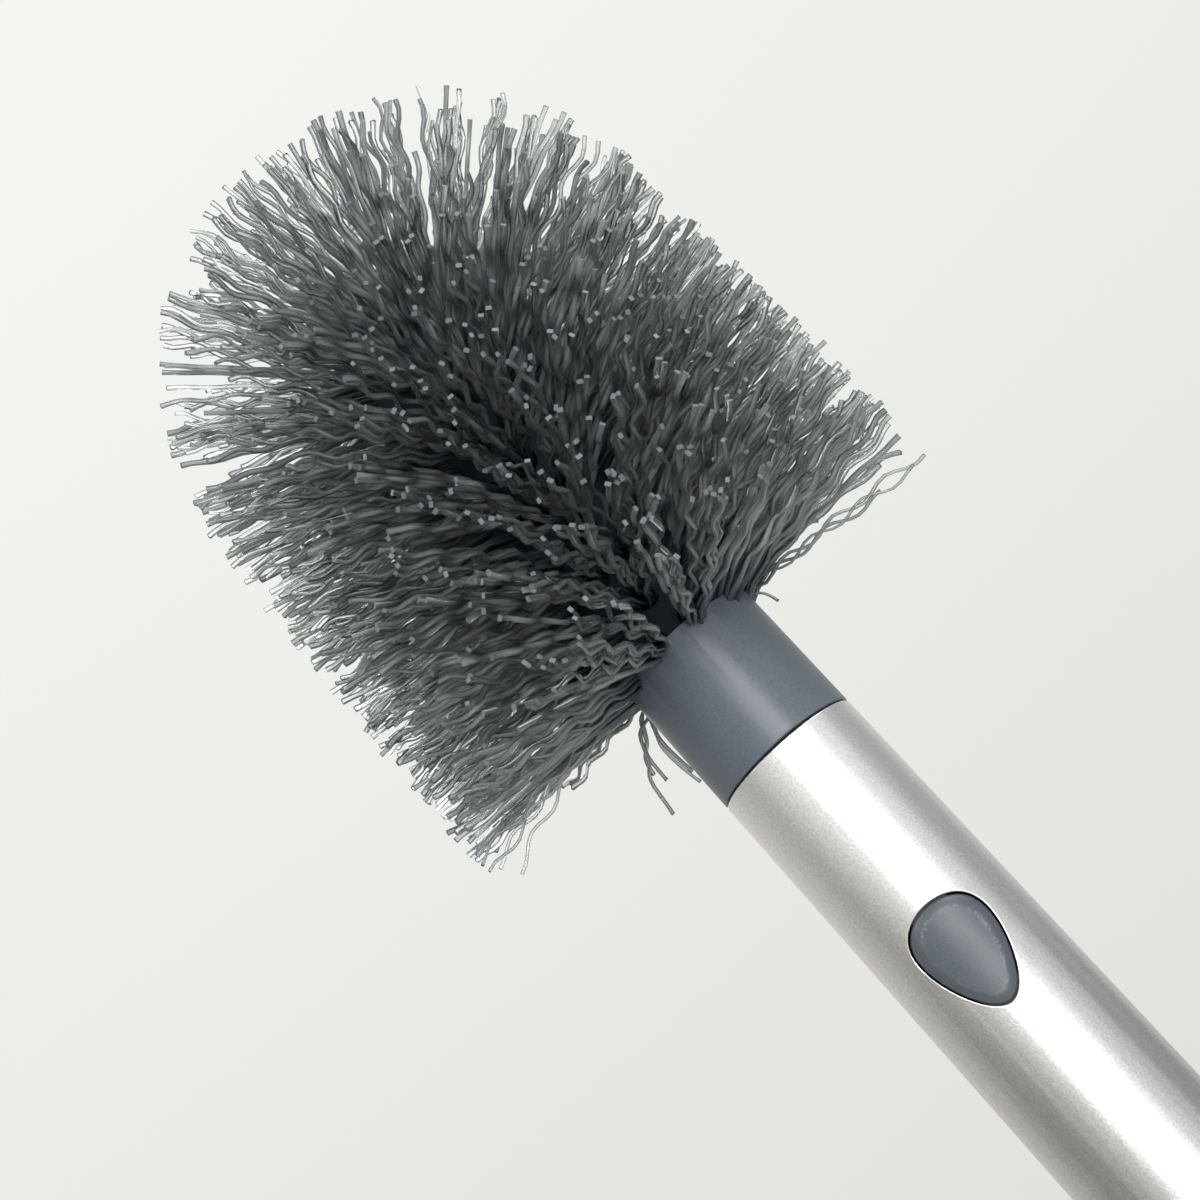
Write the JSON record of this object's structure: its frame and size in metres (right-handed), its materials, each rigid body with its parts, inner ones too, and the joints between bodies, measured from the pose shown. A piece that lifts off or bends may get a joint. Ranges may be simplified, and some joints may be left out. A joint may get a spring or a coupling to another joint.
{
  "type": "toilet brush",
  "caption": "Toilet brush with a domed head of crimped bristles, a plastic collar and a satin metal tube handle whose push button frees the head.",
  "frame": {"origin": "centre of the flat end of the handle, on the surface that the brush stands on", "axes": "+Z along the handle to the tips of the bristles, -Y out through the release button"},
  "size_m": [0.084, 0.084, 0.3792],
  "materials": {
    "slate_plastic": "satin moulded slate-grey plastic, fine mould texture, worn paler along the button's rim",
    "dark_plastic": "matte moulded dark plastic, hidden in use",
    "satin_tube": "satin drawn tube with fine scratches along its length",
    "spring_steel": "bright rolled strip",
    "filament": "smoky translucent crimped monofilament with paler cut ends"
  },
  "bodies": {
    "handle": {"end_cap": "slate_plastic", "handle_tube": "satin_tube", "socket_liner": "dark_plastic"},
    "button": {"release_button": "slate_plastic"},
    "head": {"spigot": "dark_plastic", "latch_spring": "spring_steel", "collar": "slate_plastic", "brush_core": "dark_plastic", "bristle_row_1": "filament", "bristle_row_2": "filament", "bristle_row_3": "filament", "bristle_row_4": "filament", "bristle_row_5": "filament", "bristle_row_6": "filament", "bristle_row_7": "filament", "bristle_row_8": "filament", "bristle_row_9": "filament", "bristle_nose": "filament"}
  },
  "joints": [
    {"name": "button_press", "type": "slide", "parent": "handle", "child": "button", "axis": [0, 1, 0], "range_m": [0, 0.0018], "stiffness_N_per_m": 600, "springref_m": -0.003, "deforming": ["latch_spring"]},
    {"name": "head_pull", "type": "slide", "parent": "handle", "child": "head", "axis": [0, 0, 1], "range_m": [0, 0.055], "deforming": ["latch_spring"]}
  ]
}
